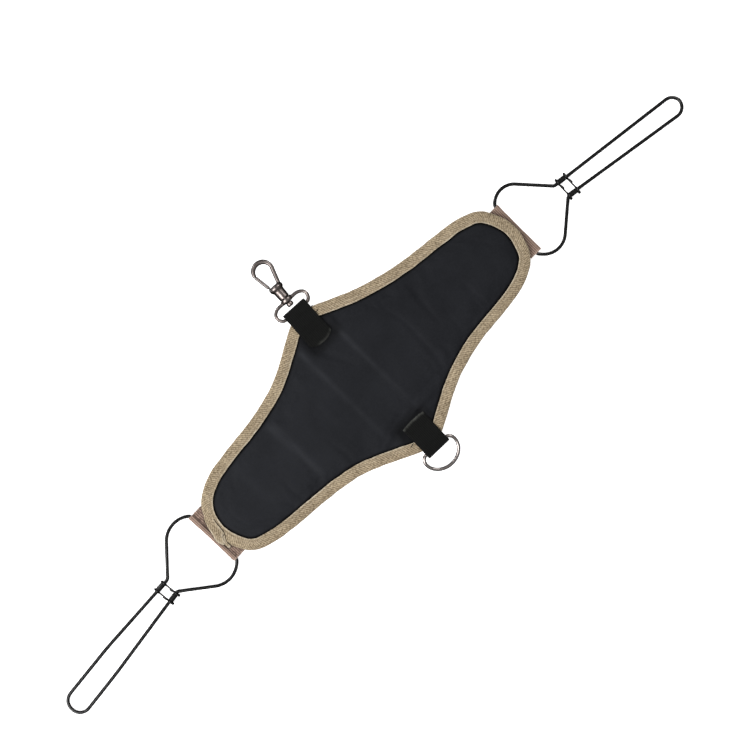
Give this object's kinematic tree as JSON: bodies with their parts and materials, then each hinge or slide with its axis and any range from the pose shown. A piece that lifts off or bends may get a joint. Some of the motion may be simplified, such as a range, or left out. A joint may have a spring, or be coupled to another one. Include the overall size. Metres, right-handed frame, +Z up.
{
  "type": "padded game carrying sling",
  "caption": "Diamond-shaped padded sling with a bound edge, a swivel snap hook and a D-ring at mid-length, and a pivoting stiff wire loop with a sliding keeper at each end.",
  "frame": {"origin": "centre of the pad on its flat underside, where it lies against the shoulder", "axes": "+X along the pad to the right-hand wire loop, +Y across the pad to the snap hook, +Z up out of the face that shows"},
  "size_m": [0.7999, 0.2619, 0.0158],
  "materials": {
    "face_fabric": "fine plain weave, near black",
    "lining": "plain weave, black",
    "foam": "closed-cell foam",
    "binding_tape": "tan herringbone twill tape",
    "sleeve_webbing": "ribbed brown webbing",
    "tab_webbing": "black webbing",
    "coated_wire": "satin black coating on spring wire",
    "gunmetal": "black nickel plating",
    "bright_steel": "bright nickel plating"
  },
  "bodies": {
    "pad": {"pad_face": "face_fabric", "pad_foam": "foam", "pad_back": "lining", "edge_binding": "binding_tape", "hook_tab": "tab_webbing", "dring_tab": "tab_webbing", "sleeve_right": "sleeve_webbing", "sleeve_left": "sleeve_webbing"},
    "loop_right": {"loop_wire_right": "coated_wire"},
    "loop_left": {"loop_wire_left": "coated_wire"},
    "keeper_right": {"keeper_right_spacer_left_leg": "coated_wire", "keeper_right_spacer_right_leg": "coated_wire", "keeper_right_bar_inner": "coated_wire", "keeper_right_bar_outer": "coated_wire"},
    "keeper_left": {"keeper_left_spacer_left_leg": "coated_wire", "keeper_left_spacer_right_leg": "coated_wire", "keeper_left_bar_inner": "coated_wire", "keeper_left_bar_outer": "coated_wire"},
    "eye": {"eye_ring": "gunmetal"},
    "hook": {"hook_body": "gunmetal", "swivel_rivet": "gunmetal", "gate_pin": "gunmetal", "gate_spring": "bright_steel"},
    "gate": {"gate": "bright_steel"},
    "d_ring": {"d_ring": "gunmetal"}
  },
  "joints": [
    {"name": "loop_right_pivot", "type": "hinge", "parent": "pad", "child": "loop_right", "pos_m": [0.1975, -0.004, -0.0042], "axis": [0.07, 0.9975, 0], "range_deg": [-130, 130]},
    {"name": "loop_left_pivot", "type": "hinge", "parent": "pad", "child": "loop_left", "pos_m": [-0.2026, -0.00025, -0.0042], "axis": [-0.0243, 0.9997, 0], "range_deg": [-130, 130]},
    {"name": "keeper_right_slide", "type": "slide", "parent": "loop_right", "child": "keeper_right", "axis": [0.9877, -0.1564, 0], "range_m": [0, 0.05]},
    {"name": "keeper_left_slide", "type": "slide", "parent": "loop_left", "child": "keeper_left", "axis": [-0.9963, -0.0863, 0], "range_m": [0, 0.016]},
    {"name": "eye_pivot", "type": "hinge", "parent": "pad", "child": "eye", "pos_m": [0.002, 0.0902, 0.001], "axis": [0.9972, -0.075, 0], "range_deg": [-100, 90]},
    {"name": "hook_swivel", "type": "hinge", "parent": "eye", "child": "hook", "pos_m": [0.002, 0.0902, 0.001], "axis": [0.075, 0.9972, 0], "continuous": true},
    {"name": "gate_pivot", "type": "hinge", "parent": "hook", "child": "gate", "pos_m": [-0.00038, 0.11996, 0.001], "axis": [0, 0, -1], "range_deg": [0, 26], "stiffness_Nm_per_rad": 0.01, "springref_deg": -34.38},
    {"name": "dring_pivot", "type": "hinge", "parent": "pad", "child": "d_ring", "pos_m": [0.0014, -0.0893, 0.001], "axis": [-0.9991, 0.0419, 0], "range_deg": [-95, 125]}
  ]
}
